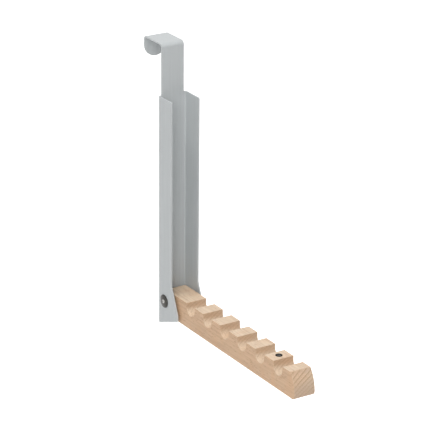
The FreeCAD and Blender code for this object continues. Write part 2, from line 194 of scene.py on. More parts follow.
class Studio(bpy.types.PropertyGroup):
    azimuth: turn_angle("Azimuth", "Camera's turn about the upright", -32.05)
    elevation: turn_angle("Elevation", "Camera's height angle", 21.6364)
    roll: turn_angle("Roll", "Camera's turn about its own line of sight", 0.5004)
    distance: length("Distance", "Camera to its aim", 2.9963)
    lens: FloatProperty(
        name="Lens",
        description="Focal length in millimetres on a 36 mm sensor",
        default=204.0,
        min=1.0,
    )
    aim: FloatVectorProperty(
        name="Aim",
        description="Point that the camera looks at",
        default=(0.0, -0.12322, -0.1924),
        size=3,
        subtype="XYZ",
    )
    floor_height: FloatProperty(
        name="Floor",
        description="Height of the floor under the bracket",
        default=-0.62,
        unit="LENGTH",
    )
    floor_half: length("Floor reach", "From the floor's middle to its edges", 30.0)
    key_power: lamp_power("Key", "Power of the main lamp", 62.0)
    fill_power: lamp_power("Fill", "Power of the second lamp", 91.0)
    back_power: lamp_power("Back", "Power of the lamp behind", 46.0)
    ambient: FloatProperty(name="Ambient", description="Light from all round", default=0.20, min=0.0)


GROUPS = {
    "bracket_arm": ArmSizes,
    "bracket_steel": SteelSizes,
    "bracket_pivot": PivotSizes,
    "bracket_magnet": MagnetSizes,
    "bracket_finishes": Finishes,
    "bracket_studio": Studio,
}


class Graph:
    """Adds nodes to one tree, joined as they are made and laid out from left to right."""

    STEP = 190
    # The Mix node has its sockets once for each kind of value. These are the ones for colours.
    MIX_COLOURS = (0, 6, 7)
    MIX_RESULT = 2

    def __init__(self, tree):
        self.tree = tree

    def node(self, kind, inputs=None, **settings):
        made = self.tree.nodes.new(kind)
        made.location = (self.STEP * len(self.tree.nodes), 0)
        for name, value in settings.items():
            setattr(made, name, value)
        for socket, value in (inputs or {}).items():
            self.feed(made.inputs[socket], value)
        return made

    def feed(self, socket, value):
        if isinstance(value, bpy.types.NodeSocket):
            self.tree.links.new(value, socket)
        else:
            socket.default_value = value

    def math(self, operation, *values):
        return self.node("ShaderNodeMath", dict(enumerate(values)), operation=operation).outputs[0]

    def vector(self, operation, *values):
        return self.node("ShaderNodeVectorMath", dict(enumerate(values)), operation=operation).outputs[0]

    def reach(self, vector):
        """A vector's length."""
        return self.node("ShaderNodeVectorMath", {0: vector}, operation="LENGTH").outputs["Value"]

    def parts(self, vector):
        """A vector's parts, by the names X, Y and Z."""
        return self.node("ShaderNodeSeparateXYZ", {0: vector}).outputs

    def joined(self, **parts):
        """A vector from its parts X, Y and Z, where one left out is 0."""
        return self.node("ShaderNodeCombineXYZ", parts).outputs[0]

    def noise(self, place, scale, detail):
        inputs = {"Vector": place, "Scale": scale, "Detail": detail}
        return self.node("ShaderNodeTexNoise", inputs).outputs[0]

    def mix(self, factor, first, second):
        """Mixes two colours."""
        made = self.node("ShaderNodeMix", data_type="RGBA")
        for socket, value in zip(self.MIX_COLOURS, (factor, first, second)):
            self.feed(made.inputs[socket], value)
        return made.outputs[self.MIX_RESULT]

    def ramp(self, value, low, high, start=0.0, end=1.0):
        """Maps low..high of a value to start..end, held at both ends."""
        names = ("Value", "From Min", "From Max", "To Min", "To Max")
        return self.node("ShaderNodeMapRange", dict(zip(names, (value, low, high, start, end)))).outputs[0]


def open_group(name, kind, inputs, outputs):
    """A new node group with named sockets, as its Graph, its input node and its output node."""
    tree = bpy.data.node_groups.new(name, kind)
    for label, (socket, default) in inputs.items():
        made = tree.interface.new_socket(label, in_out="INPUT", socket_type="NodeSocket" + socket)
        if default is not None:
            made.default_value = default
    for label, socket in outputs.items():
        tree.interface.new_socket(label, in_out="OUTPUT", socket_type="NodeSocket" + socket)
    graph = Graph(tree)
    return graph, graph.node("NodeGroupInput").outputs, graph.node("NodeGroupOutput").inputs


def tone_group():
    """Slow light and dark drift of a colour over the piece, by Amount to each side of it."""
    graph, given, result = open_group(
        "Tone drift",
        "ShaderNodeTree",
        {
            "Vector": ("Vector", None),
            "Color": ("Color", None),
            "Scale": ("Float", 12.0),
            "Amount": ("Float", 0.05),
        },
        {"Color": "Color"},
    )
    noise = graph.noise(given["Vector"], given["Scale"], 3.0)
    swing = graph.math("MULTIPLY", graph.math("SUBTRACT", noise, 0.5), given["Amount"])
    value = graph.math("MULTIPLY_ADD", swing, 2.0, 1.0)
    toned = graph.node("ShaderNodeHueSaturation", {"Color": given["Color"], "Value": value})
    graph.feed(result["Color"], toned.outputs[0])
    return graph.tree


def texture_group():
    """Fine surface texture: a height for bump and a mask for roughness."""
    graph, given, result = open_group(
        "Fine texture",
        "ShaderNodeTree",
        {
            "Vector": ("Vector", None),
            "Grain": ("Float", 900.0),
            "Wave": ("Float", 150.0),
            "Waviness": ("Float", 0.3),
        },
        {"Height": "Float", "Mask": "Float"},
    )
    grain = graph.noise(given["Vector"], given["Grain"], 2.0)
    wave = graph.noise(given["Vector"], given["Wave"], 1.0)
    swell = graph.math("MULTIPLY", wave, given["Waviness"])
    graph.feed(result["Height"], graph.math("ADD", grain, swell))
    graph.feed(result["Mask"], graph.ramp(grain, 0.35, 0.65))
    return graph.tree


def shared(name, make):
    return bpy.data.node_groups.get(name) or make()


class Surface(Graph):
    """A material with one Principled shader, its Object coordinates and the shared groups."""

    def __init__(self, name):
        self.material = bpy.data.materials.new(name)
        self.material.use_nodes = True
        super().__init__(self.material.node_tree)
        self.shader = self.tree.nodes["Principled BSDF"]
        self.spot = self.node("ShaderNodeTexCoord")
        self.place = self.spot.outputs["Object"]

    def group(self, tree, inputs):
        made = self.node("ShaderNodeGroup", node_tree=tree)
        for socket, value in inputs.items():
            self.feed(made.inputs[socket], value)
        return made.outputs

    def tone(self, base, scale, amount):
        return self.group(
            shared("Tone drift", tone_group),
            {"Vector": self.place, "Color": base, "Scale": scale, "Amount": amount},
        )["Color"]

    def texture(self, grain, wave, waviness):
        return self.group(
            shared("Fine texture", texture_group),
            {"Vector": self.place, "Grain": grain, "Wave": wave, "Waviness": waviness},
        )

    def scaled(self, x, y, z):
        """Object coordinates, each times its own factor."""
        return self.vector("MULTIPLY", self.place, (x, y, z))

    def bump(self, height, distance, strength):
        made = self.node("ShaderNodeBump", {"Height": height, "Distance": distance, "Strength": strength})
        return made.outputs[0]

    def finish(self, **inputs):
        for socket, value in inputs.items():
            self.feed(self.shader.inputs[socket.replace("_", " ")], value)
        return self.material


def rgba(value):
    return (*value, 1.0)


def times(value, factor):
    """A colour made lighter or darker, as far as white."""
    return rgba([min(1.0, factor * part) for part in value])


def paint_material(look):
    """Powder coat: fine grain, a slow orange-peel wave, faint upright lines and a satin sheen."""
    surface = Surface("powder_coat")
    skin = surface.texture(grain=2200.0, wave=420.0, waviness=0.6)
    fleck = surface.ramp(surface.noise(surface.place, 5200.0, 1.0), 0.62, 0.72, 0.0, 0.35)
    line = surface.ramp(surface.noise(surface.scaled(1.0, 1.0, 0.03), 420.0, 2.0), 0.35, 0.65, 0.0, 0.22)
    even = surface.tone(rgba(look.paint), scale=9.0, amount=0.02)
    lined = surface.mix(line, even, times(look.paint, 0.8))
    return surface.finish(
        Base_Color=surface.mix(fleck, lined, times(look.paint, 1.3)),
        Metallic=0.0,
        Roughness=surface.ramp(skin["Mask"], 0.0, 1.0, 0.40, 0.50),
        Normal=surface.bump(skin["Height"], distance=0.02 * MM, strength=0.5),
    )


def late_wood(surface, along):
    """Late wood of the rings, which the arm's faces cut slantwise, fainter in places."""
    ring_step = 4.1 * MM
    ring_radius = 140 * MM
    ring_wander = 16 * MM
    late_sharpness = 5.0
    slant = Vector((-0.533, 0.0, 0.846))
    heart = (ARM_LO + ARM_HI) / 2 - ring_radius * slant

    from_heart = surface.vector("SUBTRACT", surface.place, heart[:])
    radius = surface.reach(surface.vector("MULTIPLY", from_heart, (1.0, 0.0, 1.0)))
    shifted = surface.math("MULTIPLY_ADD", surface.noise(along, 22.0, 2.0), ring_wander, radius)
    phase = surface.math("FRACT", surface.math("DIVIDE", shifted, ring_step))
    strength = surface.ramp(surface.noise(along, 110.0, 2.0), 0.36, 0.62, 0.45, 1.0)
    return surface.math("MULTIPLY", surface.math("POWER", phase, late_sharpness), strength)


def short_flecks(surface):
    """Short dark flecks along the grain, in a few cells of a drawn-out cell pattern."""
    few_above = 0.72
    cells = surface.node(
        "ShaderNodeTexVoronoi",
        {"Vector": surface.scaled(1.0, 0.17, 1.0), "Scale": 620.0, "Randomness": 1.0},
        feature="F1",
    )
    chosen = surface.math("GREATER_THAN", surface.parts(cells.outputs["Color"])["X"], few_above)
    return surface.math("MULTIPLY", surface.ramp(cells.outputs["Distance"], 0.30, 0.18), chosen)


def beech_material(look):
    """Beech: a painted sheen that makes the tops paler, a painted highlight in the notch bottoms, duller
    across the grain, with ring lines, fine fibres and short dark flecks.
    """
    surface = Surface("sanded_beech")
    along = surface.scaled(0.30, 1.0, 0.30)
    late = late_wood(surface, along)
    fibre = surface.noise(surface.scaled(1.0, 0.035, 1.0), 700.0, 5.0)
    dash = short_flecks(surface)

    facing = surface.parts(surface.spot.outputs["Normal"])
    spot = surface.parts(surface.place)
    end = surface.ramp(surface.math("ABSOLUTE", facing["Y"]), 0.55, 0.85)
    tip = surface.ramp(spot["Y"], ARM_LO.y + 14 * MM, ARM_LO.y + 12 * MM)
    raked = surface.math("MULTIPLY", end, tip)
    # Painted sheen: faces pointing up near the arm's top are mixed towards the pale tone.
    height = surface.ramp(spot["Z"], ARM_HI.z - 6 * MM, ARM_HI.z - 2 * MM, 0.5, 1.0)
    top = surface.math("MULTIPLY", surface.ramp(facing["Z"], 0.80, 0.95), height)
    # Painted highlight: faces pointing up in the notch bottoms are mixed towards a paler tone.
    sunk = surface.ramp(spot["Z"], ARM_HI.z - 3 * MM, ARM_HI.z - 6 * MM)
    notch_highlight_mask = surface.math("MULTIPLY", surface.ramp(facing["Z"], 0.15, 0.45), sunk)

    sheened_top = surface.mix(top, rgba(look.wood), rgba(look.wood_top_sheen))
    cut = surface.mix(end, sheened_top, surface.mix(tip, rgba(look.wood_end), rgba(look.wood_tip)))
    highlighted_notches = surface.mix(notch_highlight_mask, cut, rgba(look.wood_notch_highlight))
    flush = surface.ramp(surface.noise(along, 75.0, 2.0), 0.48, 0.70, 0.0, 0.35)
    warmed = surface.mix(flush, highlighted_notches, rgba(look.wood_warm))
    base = surface.tone(warmed, scale=16.0, amount=0.05)
    ring_depth = surface.math("MULTIPLY_ADD", raked, 0.45, surface.ramp(end, 0.0, 1.0, 0.20, 0.75))
    ringed = surface.mix(surface.math("MULTIPLY", late, ring_depth), base, rgba(look.wood_dark))
    fibred = surface.mix(surface.ramp(fibre, 0.42, 0.66, 0.0, 0.34), ringed, rgba(look.wood_dark))
    flecked = surface.mix(surface.math("MULTIPLY", dash, 0.55), fibred, rgba(look.wood_fleck))
    relief = surface.math("ADD", fibre, surface.math("MULTIPLY", dash, -0.6))
    return surface.finish(
        Base_Color=flecked,
        Roughness=surface.ramp(fibre, 0.3, 0.7, 0.52, 0.62),
        Specular_IOR_Level=0.5,
        Normal=surface.bump(relief, distance=0.04 * MM, strength=0.6),
    )


def plating_material(look):
    """Black nickel: smooth plate over fine turning marks, with a painted highlight of bright, less metallic
    colour in the pivot's sockets.
    """
    surface = Surface("black_nickel")
    # Painted highlight: the middle of each pivot socket is painted bright and less metallic, fading out
    # between these two radii.
    lit_within = 2.4 * MM
    dark_beyond = 3.0 * MM
    marks = surface.texture(grain=3800.0, wave=600.0, waviness=0.4)
    centred = surface.vector("SUBTRACT", surface.place, PIVOT[:])
    reach = surface.reach(surface.vector("MULTIPLY", centred, (0.0, 1.0, 1.0)))
    lit_socket = surface.ramp(reach, lit_within, dark_beyond, 1.0, 0.0)
    plate = surface.tone(rgba(look.plating), scale=140.0, amount=0.06)
    return surface.finish(
        Base_Color=surface.mix(lit_socket, plate, rgba(look.socket_highlight)),
        Metallic=surface.ramp(lit_socket, 0.0, 1.0, 0.85, 0.15),
        Roughness=surface.ramp(marks["Mask"], 0.0, 1.0, 0.26, 0.36),
        Normal=surface.bump(marks["Height"], distance=0.006 * MM, strength=0.5),
    )


def zinc_material(look):
    """Black zinc: a thin dark film, almost without shine."""
    surface = Surface("dark_zinc")
    film = surface.texture(grain=4200.0, wave=520.0, waviness=0.5)
    return surface.finish(
        Base_Color=surface.tone(rgba(look.zinc), scale=160.0, amount=0.10),
        Metallic=0.0,
        Roughness=surface.ramp(film["Mask"], 0.0, 1.0, 0.55, 0.68),
        Specular_IOR_Level=0.02,
        Normal=surface.bump(film["Height"], distance=0.008 * MM, strength=0.5),
    )


def nylon_material(look):
    """Natural nylon, as it leaves the mould."""
    surface = Surface("natural_nylon")
    skin = surface.texture(grain=1800.0, wave=260.0, waviness=0.5)
    return surface.finish(
        Base_Color=surface.tone(rgba(look.nylon), scale=60.0, amount=0.03),
        Roughness=surface.ramp(skin["Mask"], 0.0, 1.0, 0.42, 0.52),
        Normal=surface.bump(skin["Height"], distance=0.015 * MM, strength=0.5),
    )


def rubber_material(look):
    """Moulded rubber, dull and faintly mottled."""
    surface = Surface("moulded_rubber")
    skin = surface.texture(grain=1500.0, wave=240.0, waviness=0.8)
    return surface.finish(
        Base_Color=surface.tone(rgba(look.rubber), scale=80.0, amount=0.12),
        Roughness=surface.ramp(skin["Mask"], 0.0, 1.0, 0.66, 0.80),
        Normal=surface.bump(skin["Height"], distance=0.04 * MM, strength=0.7),
    )


def magnet_material(look):
    """Sintered ring magnet, ground flat."""
    surface = Surface("ring_magnet")
    skin = surface.texture(grain=5200.0, wave=700.0, waviness=0.3)
    return surface.finish(
        Base_Color=surface.tone(rgba(look.magnet), scale=200.0, amount=0.15),
        Metallic=0.0,
        Specular_IOR_Level=0.02,
        Roughness=surface.ramp(skin["Mask"], 0.0, 1.0, 0.50, 0.62),
        Normal=surface.bump(skin["Height"], distance=0.01 * MM, strength=0.6),
    )


MAKERS = {
    "powder_coat": paint_material,
    "sanded_beech": beech_material,
    "black_nickel": plating_material,
    "dark_zinc": zinc_material,
    "natural_nylon": nylon_material,
    "moulded_rubber": rubber_material,
    "ring_magnet": magnet_material,
}


def material(name, context):
    return bpy.data.materials.get(name) or MAKERS[name](context.scene.bracket_finishes)


def add_piece(name, mesh):
    piece = bpy.data.objects.new(name, mesh)
    bpy.context.scene.collection.objects.link(piece)
    return piece


def mesh_from(name, shape):
    mesh = bpy.data.meshes.new(name)
    shape.to_mesh(mesh)
    shape.free()
    return mesh


def apply_modifiers(piece):
    """Turns the evaluated piece into its own plain mesh, with no modifier left."""
    depsgraph = bpy.context.evaluated_depsgraph_get()
    plain = bpy.data.meshes.new_from_object(piece.evaluated_get(depsgraph), depsgraph=depsgraph)
    piece.modifiers.clear()
    plain.name = piece.name
    piece.data = plain


def round_edges(piece, width):
    bevel = piece.modifiers.new("Rounded edges", "BEVEL")
    bevel.width = width
    bevel.segments = ROUND_SEGMENTS
    bevel.limit_method = "ANGLE"
    bevel.angle_limit = math.radians(ROUNDED_ABOVE)
    bevel.use_clamp_overlap = True
    apply_modifiers(piece)


def shade(piece, smooth_below=TURNED_SMOOTH_BELOW):
    """Smooth shading that breaks at real corners."""
    for face in piece.data.polygons:
        face.use_smooth = True
    piece.data.set_sharp_from_angle(angle=math.radians(smooth_below))
    weighted = piece.modifiers.new("Flat faces stay flat", "WEIGHTED_NORMAL")
    weighted.keep_sharp = True
    apply_modifiers(piece)


def settle(piece, body, slot, finish, *nodes):
    """Gives a finished piece its material and its body, and hides the nodes that it stands for. The slot is
    not used.
    """
    piece.data.materials.clear()
    piece.data.materials.append(finish)
    for face in piece.data.polygons:
        face.material_index = 0
    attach(piece, body)
    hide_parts(*nodes)


def sheet_copy(name, node):
    """A merged copy of a node's mesh with its flat faces whole again."""
    shape = bmesh.new()
    shape.from_mesh(frame["nodes"][node].data)
    bmesh.ops.remove_doubles(shape, verts=shape.verts, dist=MERGE_DISTANCE)
    bmesh.ops.dissolve_limit(
        shape,
        angle_limit=math.radians(FLAT_WITHIN),
        verts=shape.verts,
        edges=shape.edges,
    )
    return add_piece(name, mesh_from(name, shape))


def ring_of(shape, radius, height, corners, sides):
    """A ring of points about the Z axis: round, or with flats at that radius where corners are given."""
    row = []
    for number in range(sides):
        angle = 2 * math.pi * number / sides
        reach = radius
        if corners:
            half = math.pi / corners
            reach = radius / math.cos(angle % (2 * half) - half)
        row.append(shape.verts.new((reach * math.cos(angle), reach * math.sin(angle), height)))
    return row


def turned(name, stations, place, turn, sides=TURNED_SIDES, ring=False):
    """A shape turned about its own Z axis, then turned and placed.

    A station is (radius, height), or (radius, height, corners) for a ring with flats at that radius. The
    first and last stations are poles of radius 0, or with ring set the last joins the first.
    """
    shape = bmesh.new()
    rows = []
    for radius, height, *corners in stations:
        if radius == 0:
            rows.append([shape.verts.new((0, 0, height))] * sides)
        else:
            rows.append(ring_of(shape, radius, height, corners[0] if corners else None, sides))
    pairs = list(zip(rows, rows[1:]))
    if ring:
        pairs.append((rows[-1], rows[0]))
    for low, high in pairs:
        for number in range(sides):
            after = (number + 1) % sides
            corners = [low[number], low[after], high[after], high[number]]
            shape.faces.new(list(dict.fromkeys(corners)))
    bmesh.ops.recalc_face_normals(shape, faces=shape.faces)
    shape.transform(Matrix.Translation(place) @ turn)
    return add_piece(name, mesh_from(name, shape))


def drawn_out(name, near, far):
    """A closed shape between two matching outlines."""
    shape = bmesh.new()
    ends = [[shape.verts.new(spot) for spot in outline] for outline in (near, far)]
    shape.faces.new(ends[0])
    shape.faces.new(ends[1][::-1])
    for number in range(len(near)):
        after = (number + 1) % len(near)
        shape.faces.new((ends[0][number], ends[1][number], ends[1][after], ends[0][after]))
    bmesh.ops.recalc_face_normals(shape, faces=shape.faces)
    return add_piece(name, mesh_from(name, shape))


def subtract(piece, cutter):
    """Cuts one piece out of another and deletes the cutter."""
    cut = piece.modifiers.new("Cut", "BOOLEAN")
    cut.operation = "DIFFERENCE"
    cut.solver = "EXACT"
    cut.object = cutter
    apply_modifiers(piece)
    bpy.data.objects.remove(cutter)


def bore(piece, name, radius, low, high):
    """Cuts a round hole from one point to another."""
    axis = (high - low).normalized()
    turn = Vector((0, 0, 1)).rotation_difference(axis).to_matrix().to_4x4()
    reach = (high - low).length
    subtract(piece, turned(name, [(0, 0), (radius, 0), (radius, reach), (0, reach)], low, turn, BORE_SIDES))


def arc(centre, radius, start, end, steps):
    """Points on an arc in Y and Z, angles in radians from +Y towards +Z."""
    turns = [start + (end - start) * step / steps for step in range(steps + 1)]
    return [(centre[0] + radius * math.cos(turn), centre[1] + radius * math.sin(turn)) for turn in turns]


def arm_outline(sizes):
    """The arm's side without notches: a raked, bowed end over a rounded toe, and a back round the pivot."""
    toe = (ARM_LO.y + sizes.toe_radius, ARM_LO.z + sizes.toe_radius)
    rise = ARM_HI.z - toe[1]
    bow = (sizes.tip_rake ** 2 + rise ** 2) / (2 * sizes.tip_rake)
    bow_end = math.pi - math.asin(rise / bow)
    back = ARM_HI.y - PIVOT.y
    top_angle = math.asin((ARM_HI.z - PIVOT.z) / back)
    points = arc(toe, sizes.toe_radius, -math.pi / 2, -math.pi, TOE_STEPS)
    points += arc((ARM_LO.y + bow, toe[1]), bow, math.pi, bow_end, BOW_STEPS)[1:]
    points += arc((PIVOT.y, PIVOT.z), back, top_angle, 0.0, BACK_STEPS)
    points.append((ARM_HI.y, ARM_LO.z))
    return points


def notch_cutter(graph, given, radius):
    """One cutter, upright at the origin: a half-round bottom with straight walls, across the arm."""
    half_round = graph.node(
        "GeometryNodeCurveArc",
        {"Resolution": NOTCH_POINTS, "Radius": radius, "Start Angle": math.pi, "Sweep Angle": math.pi},
        mode="RADIUS",
    )
    closed = graph.node("GeometryNodeSetSplineCyclic", {"Geometry": half_round.outputs[0], "Cyclic": True})
    face = graph.node("GeometryNodeFillCurve", {"Curve": closed.outputs[0]}, mode="NGONS")
    spot = graph.parts(graph.node("GeometryNodeInputPosition").outputs[0])
    walls = graph.node(
        "GeometryNodeExtrudeMesh",
        {
            "Mesh": face.outputs[0],
            "Selection": graph.math("GREATER_THAN", spot["Y"], -TINY),
            "Offset": graph.joined(Y=given["Height"]),
        },
        mode="EDGES",
    )
    flat = walls.outputs["Mesh"]
    block = graph.node(
        "GeometryNodeExtrudeMesh",
        {"Mesh": flat, "Offset Scale": given["Across"], "Individual": False},
        mode="FACES",
    )
    cap = graph.node("GeometryNodeFlipFaces", {"Mesh": flat})
    whole = graph.node("GeometryNodeJoinGeometry", {"Geometry": block.outputs["Mesh"]})
    graph.tree.links.new(cap.outputs[0], whole.inputs[0])
    merged = graph.node("GeometryNodeMergeByDistance", {"Geometry": whole.outputs[0], "Distance": TINY})
    middle = graph.joined(Z=graph.math("MULTIPLY", given["Across"], -0.5))
    centred = graph.node("GeometryNodeTransform", {"Geometry": merged.outputs[0], "Translation": middle})
    upright = graph.node(
        "GeometryNodeTransform",
        {"Geometry": centred.outputs[0], "Rotation": (math.pi / 2, 0.0, math.pi / 2)},
    )
    return upright.outputs[0]


def notch_tree():
    """Cuts a row of U-shaped notches into the bar."""
    graph, given, result = open_group(
        "Notched bar",
        "GeometryNodeTree",
        {
            "Geometry": ("Geometry", None),
            "Count": ("Int", 6),
            "Pitch": ("Float", 0.04),
            "Width": ("Float", 0.02),
            "Bottom": ("Vector", None),
            "Across": ("Float", 0.04),
            "Height": ("Float", 0.03),
            "Material": ("Material", None),
        },
        {"Geometry": "Geometry"},
    )
    radius = graph.math("MULTIPLY", given["Width"], 0.5)
    cutter = notch_cutter(graph, given, radius)
    start = graph.vector("ADD", given["Bottom"], graph.joined(Z=radius))
    step = graph.joined(Y=graph.math("MULTIPLY", given["Pitch"], -1.0))
    row = graph.node(
        "GeometryNodeMeshLine",
        {"Count": given["Count"], "Start Location": start, "Offset": step},
        mode="OFFSET",
    )
    cutters = graph.node("GeometryNodeInstanceOnPoints", {"Points": row.outputs[0], "Instance": cutter})
    solid = graph.node("GeometryNodeRealizeInstances", {"Geometry": cutters.outputs[0]})
    cut = graph.node(
        "GeometryNodeMeshBoolean",
        {"Mesh 1": given["Geometry"], "Mesh 2": solid.outputs[0]},
        operation="DIFFERENCE",
        solver="EXACT",
    )
    whole = graph.node("GeometryNodeRealizeInstances", {"Geometry": cut.outputs["Mesh"]})
    dressed = graph.node(
        "GeometryNodeSetMaterial",
        {"Geometry": whole.outputs[0], "Material": given["Material"]},
    )
    graph.feed(result["Geometry"], dressed.outputs[0])
    return graph.tree


def run_tree(piece, tree, values):
    """Adds a geometry tree to a piece with its named inputs set."""
    modifier = piece.modifiers.new(tree.name, "NODES")
    modifier.node_group = tree
    for socket in tree.interface.items_tree:
        if socket.in_out == "INPUT" and socket.name in values:
            modifier[socket.identifier] = values[socket.name]


class BRACKET_OT_arm(bpy.types.Operator):
    """Makes the notched beech arm"""

    bl_idname = "bracket.arm"
    bl_label = "Notched arm"

    def execute(self, context):
        sizes = context.scene.bracket_arm
        wood = material("sanded_beech", context)
        outline = arm_outline(sizes)
        sides = [[(x, y, z) for y, z in outline] for x in (ARM_LO.x, ARM_HI.x)]
        bar = drawn_out("notched_arm", *sides)
        cutter_share = 1.4
        run_tree(
            bar,
            shared("Notched bar", notch_tree),
            {
                "Count": sizes.notch_count,
                "Pitch": sizes.notch_pitch,
                "Width": sizes.notch_width,
                "Bottom": NOTCH_BOTTOMS[0][:],
                "Across": cutter_share * (ARM_HI.x - ARM_LO.x),
                "Height": ARM_HI.z - ARM_LO.z,
                "Material": wood,
            },
        )
        round_edges(bar, sizes.edge_radius)
        spare = 5 * MM
        left = Vector((ARM_LO.x - spare, *PIVOT.yz))
        right = Vector((ARM_HI.x + spare, *PIVOT.yz))
        bore(bar, "cross_bore", sizes.bore / 2, left, right)
        middle = (CUP_LO + CUP_HI) / 2
        floor = Vector((middle.x, middle.y, CUP_LO.z))
        above = floor + Vector((0, 0, 4 * spare))
        bore(bar, "magnet_pocket", (CUP_HI.x - CUP_LO.x) / 2, floor, above)
        shade(bar, SMOOTH_BELOW)
        settle(bar, SWINGING, "beech", wood, "arm")
        return {"FINISHED"}


class BRACKET_OT_steel(bpy.types.Operator):
    """Makes the folded channel with its strap, with softened sheet edges"""

    bl_idname = "bracket.steel"
    bl_label = "Channel and strap"

    def execute(self, context):
        paint = material("powder_coat", context)
        sheet = sheet_copy("folded_channel", "channel")
        round_edges(sheet, context.scene.bracket_steel.edge_radius)
        shade(sheet, SMOOTH_BELOW)
        settle(sheet, BRACKET, "painted_steel", paint, "channel")
        return {"FINISHED"}


def head_stations(sizes):
    """Stations of a domed head above its seat, from the rim in to the bottom of its hexagon socket."""
    chamfer = 0.25 * MM
    corner = 0.2 * MM
    shoulder = 0.6 * MM
    shoulder_low = 0.6
    shoulder_rise = 0.8
    shoulder_turns = (0, 20, 40, 60)
    dome_shares = (0.9, 0.78, 0.64, 0.52)
    sink = 0.04 * sizes.socket
    hexagon = 6

    radius = sizes.head / 2
    rise = sizes.dome - sizes.rim
    ball = (radius ** 2 + rise ** 2) / (2 * rise)

    def dome(reach):
        return sizes.dome - ball + math.sqrt(ball ** 2 - reach ** 2)

    stations = [(radius - corner, 0), (radius, corner)]
    low = sizes.rim - shoulder_low * shoulder
    for angle in map(math.radians, shoulder_turns):
        inset = shoulder * (1 - math.cos(angle))
        stations.append((radius - inset, low + shoulder_rise * shoulder * math.sin(angle)))
    reaches = [radius - shoulder] + [share * radius for share in dome_shares]
    stations += [(reach, dome(reach)) for reach in reaches]
    flat = sizes.socket / 2
    mouth = flat / math.cos(math.pi / hexagon) + chamfer
    bottom = sizes.dome - sizes.socket_depth
    return stations + [
        (mouth, dome(mouth)),
        (flat, dome(mouth) - chamfer, hexagon),
        (flat, bottom, hexagon),
        (0, bottom - sink),
    ]


class BRACKET_OT_pivot(bpy.types.Operator):
    """Makes the pivot's bolt, its sleeve nut and the two bushes"""

    bl_idname = "bracket.pivot"
    bl_label = "Pivot"

    def execute(self, context):
        sizes = context.scene.bracket_pivot
        to_left = Matrix.Rotation(-math.pi / 2, 4, "Y")
        to_right = Matrix.Rotation(math.pi / 2, 4, "Y")
        plating = material("black_nickel", context)
        bolt = self.make_bolt(sizes, to_left)
        settle(bolt, BRACKET, "dark_nickel", plating, "pivot_bolt")
        nut = self.make_nut(sizes, to_right)
        settle(nut, BRACKET, "dark_nickel", plating, "sleeve_nut")
        nylon = material("natural_nylon", context)
        sides = (("left_bush", "bush_left", to_left, -1), ("right_bush", "bush_right", to_right, 1))
        for name, node, turn, sign in sides:
            bush = self.make_bush(name, sizes, context.scene.bracket_arm.bore, turn, sign)
            settle(bush, SWINGING, "nylon", nylon, node)
        return {"FINISHED"}

    def make_bolt(self, sizes, turn):
        lead = 0.8 * MM
        shank = sizes.shank / 2
        end = -sizes.shank_length
        stations = [(0, end), (shank - lead, end), (shank, end + lead), (shank, 0)]
        place = Vector((BOLT_LO.x + sizes.dome, *PIVOT.yz))
        bolt = turned("pivot_bolt_head", stations + head_stations(sizes), place, turn)
        shade(bolt)
        return bolt

    def make_nut(self, sizes, turn):
        barrel = sizes.barrel / 2
        end = sizes.dome - (NUT_HI.x - NUT_LO.x)
        wall = sizes.shank / 2 + 0.1 * MM
        bore_share = 0.4
        corner = 0.2 * MM
        stations = [
            (0, bore_share * end),
            (wall, bore_share * end),
            (wall, end),
            (barrel - corner, end),
            (barrel, end + corner),
            (barrel, 0),
        ]
        place = Vector((NUT_HI.x - sizes.dome, *PIVOT.yz))
        nut = turned("sleeve_nut_head", stations + head_stations(sizes), place, turn)
        shade(nut)
        return nut

    def make_bush(self, name, sizes, bore_width, turn, sign):
        ease = SMALL_EASE
        inner = sizes.barrel / 2 + sizes.running_gap
        tube = bore_width / 2
        flange = sizes.flange / 2
        thick = BUSH_HI.x - ARM_HI.x
        inside = ARM_HI.x - BUSH_LO.x
        stations = [
            (inner, -inside),
            (tube - ease, -inside),
            (tube, ease - inside),
            (tube, 0),
            (flange, 0),
            (flange, thick - ease),
            (flange - ease, thick),
            (inner + ease, thick),
            (inner, thick - ease),
        ]
        bush = turned(name, stations, Vector((sign * ARM_HI.x, *PIVOT.yz)), turn, ring=True)
        shade(bush)
        return bush


